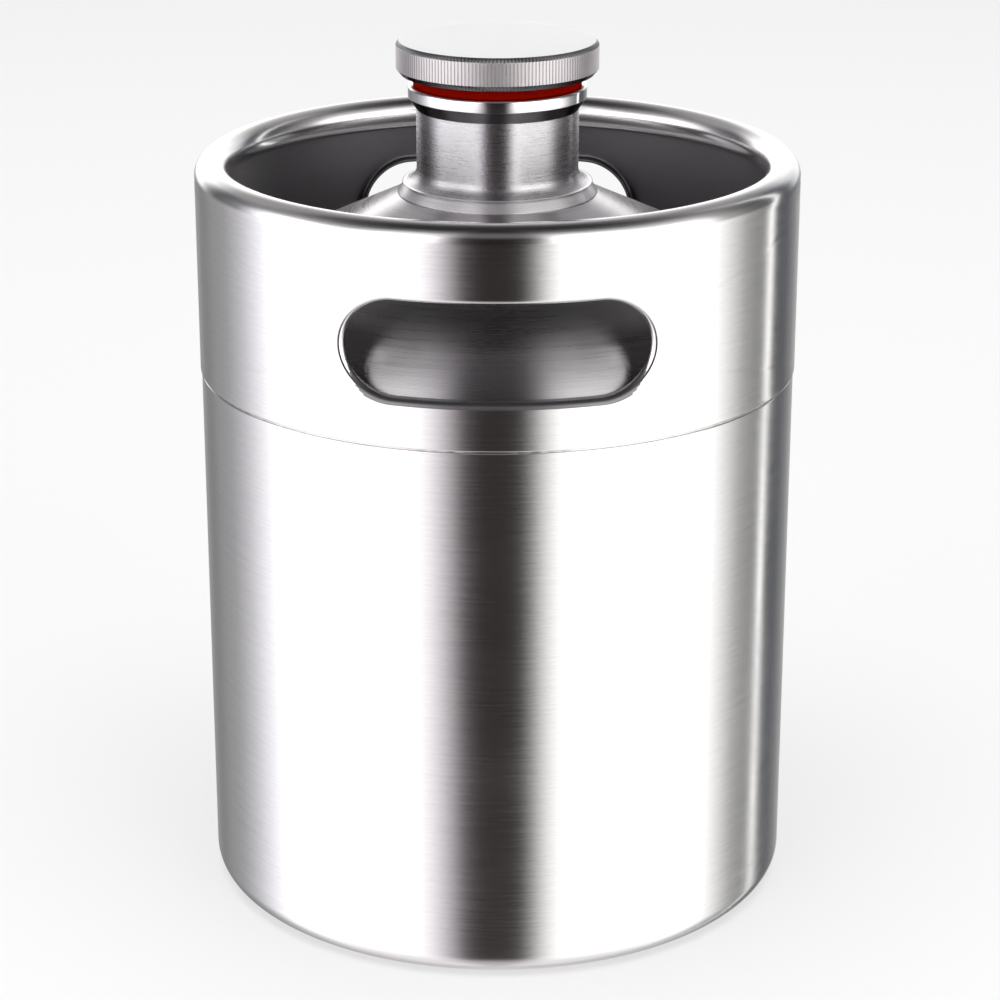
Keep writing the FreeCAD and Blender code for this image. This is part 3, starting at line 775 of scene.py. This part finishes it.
# Brightness of floor and ceiling against height above the horizon, in degrees, and how far they take over.
CEILING = [(-90, 0.5), (-34, 0.5), (16, 0.5), (34, 0.42), (48, 0.27), (58, 0.11), (70, 0.03), (90, 0.02)]
CEILING_SHARE = [(-90, 0.75), (-62, 0.75), (-38, 0.0), (24, 0.0), (41, 0.6), (54, 1.0), (90, 1.0)]
# Gain of the screens' upper parts by bearing, and how far it holds by height.
FRONT_GAIN = [
    (-180, 1.0), (-137, 1.0), (-130, 0.35), (-112, 0.35), (-101, 1.0), (-86, 1.7), (-24, 1.7), (-14, 0.3), (14, 0.3),
    (23, 1.7), (72, 1.7), (83, 1.0), (91, 0.35), (123, 0.35), (127, 1.0), (180, 1.0),
]
FRONT_HEIGHT = [(-90, 0.0), (-12, 0.0), (-3, 1.0), (24, 1.0), (38, 0.0), (90, 0.0)]
BACK_GAIN = [
    (-180, 2.0), (-174, 2.6), (-166, 4.0), (-156, 6.0), (-148, 6.5), (-142, 3.0), (-137, 1.0), (137, 1.0), (146, 4.0),
    (156, 3.6), (166, 2.4), (180, 2.0),
]
BACK_HEIGHT = [(-90, 0.0), (-9, 0.0), (-3, 1.0), (19, 1.0), (32, 0.0), (90, 0.0)]
HIGH_GAIN = [
    (-180, 1.0), (-130, 0.8), (-110, 0.35), (-60, 0.35), (-44, 1.0), (-24, 1.3), (-14, 0.5), (14, 0.5), (24, 1.2),
    (46, 1.0), (62, 0.6), (110, 0.45), (130, 0.8), (180, 1.0),
]
HIGH_HEIGHT = [(-90, 0.0), (16, 0.0), (32, 1.0), (90, 1.0)]


def surroundings():
    """A ring of wide white screens with dark gaps between them, given by brightness against bearing, with a soft
    ceiling over them, given by brightness against height. The steel shows them; the camera sees a plain pale wall."""
    world = bpy.data.worlds.new("studio")
    bpy.context.scene.world = world
    world.use_nodes = True
    shading = Shading(world.node_tree)
    nodes, math_node = shading.nodes, shading.math
    nodes.clear()
    way = nodes.new("ShaderNodeTexCoord")
    apart = nodes.new("ShaderNodeSeparateXYZ")
    shading.feed(apart.inputs[0], way.outputs["Generated"])
    x, y, z = apart.outputs
    # Bearing and height run from 0 to 1 over a whole turn and over half a turn.
    bearing = math_node("MULTIPLY_ADD", math_node("ARCTAN2", x, math_node("MULTIPLY", y, -1.0)), 1 / TAU, 0.5)
    height = math_node("MULTIPLY_ADD", math_node("ARCSINE", z), 1 / math.pi, 0.5)

    def ramp(value, stops, span):
        """Brightness or colour by straight lines between stops, whose places in degrees span the value's 0 to 1."""
        node = nodes.new("ShaderNodeValToRGB")
        node.color_ramp.interpolation = "LINEAR"
        marks = node.color_ramp.elements
        while len(marks) < len(stops):
            marks.new(0.5)
        for mark, (degrees, tone) in zip(marks, stops):
            mark.position = (degrees + span / 2) / span
            mark.color = (*tone, 1) if isinstance(tone, tuple) else (tone, tone, tone, 1)
        shading.feed(node.inputs[0], value)
        return node.outputs[0]

    def round_ramp(stops):
        return ramp(bearing, stops, 360.0)

    def tall_ramp(stops):
        return ramp(height, stops, 180.0)

    def raised(gains, heights):
        """What a screen's upper part adds to or takes from its brightness, as a share of it."""
        return math_node("MULTIPLY", math_node("SUBTRACT", round_ramp(gains), 1.0), tall_ramp(heights))

    upper = math_node("ADD", raised(FRONT_GAIN, FRONT_HEIGHT), raised(BACK_GAIN, BACK_HEIGHT))
    screens = shading.scaled(round_ramp(SCREENS), math_node("ADD", upper, 1.0))
    tinted = [(degrees, (tone, 0.965 * tone, 1.01 * tone)) for degrees, tone in CEILING]
    mixed = shading.blended(tall_ramp(CEILING_SHARE), screens, tall_ramp(tinted))
    overhead = math_node("ADD", raised(HIGH_GAIN, HIGH_HEIGHT), 1.0)

    glow, wall = nodes.new("ShaderNodeBackground"), nodes.new("ShaderNodeBackground")
    shading.feed(glow.inputs["Color"], shading.scaled(mixed, overhead))
    glow.inputs["Strength"].default_value = 1.6
    wall.inputs["Color"].default_value = (0.9, 0.9, 0.9, 1)
    seen, either = nodes.new("ShaderNodeLightPath"), nodes.new("ShaderNodeMixShader")
    for socket, value in zip(either.inputs, (seen.outputs["Is Camera Ray"], glow.outputs[0], wall.outputs[0])):
        shading.feed(socket, value)
    out = nodes.new("ShaderNodeOutputWorld")
    shading.feed(out.inputs["Surface"], either.outputs[0])


def camera():
    """Long lens in front of the keg, a little above its rim, looking down on it."""
    look_down = math.radians(19.6)
    lens = bpy.data.cameras.new("camera")
    lens.lens, lens.sensor_width = 107.2, 36.0
    lens.shift_x = 0.0025
    lens.clip_start, lens.clip_end = 0.01, 50.0
    made = bpy.data.objects.new("camera", lens)
    made.location = (0.0, -0.6492, 0.3191)
    made.rotation_euler = (math.pi / 2 - look_down, 0.0, 0.0)
    bpy.context.scene.collection.objects.link(made)
    bpy.context.scene.camera = made


floor()
soft_key()
surroundings()
camera()
bpy.context.scene.view_settings.view_transform = "Standard"
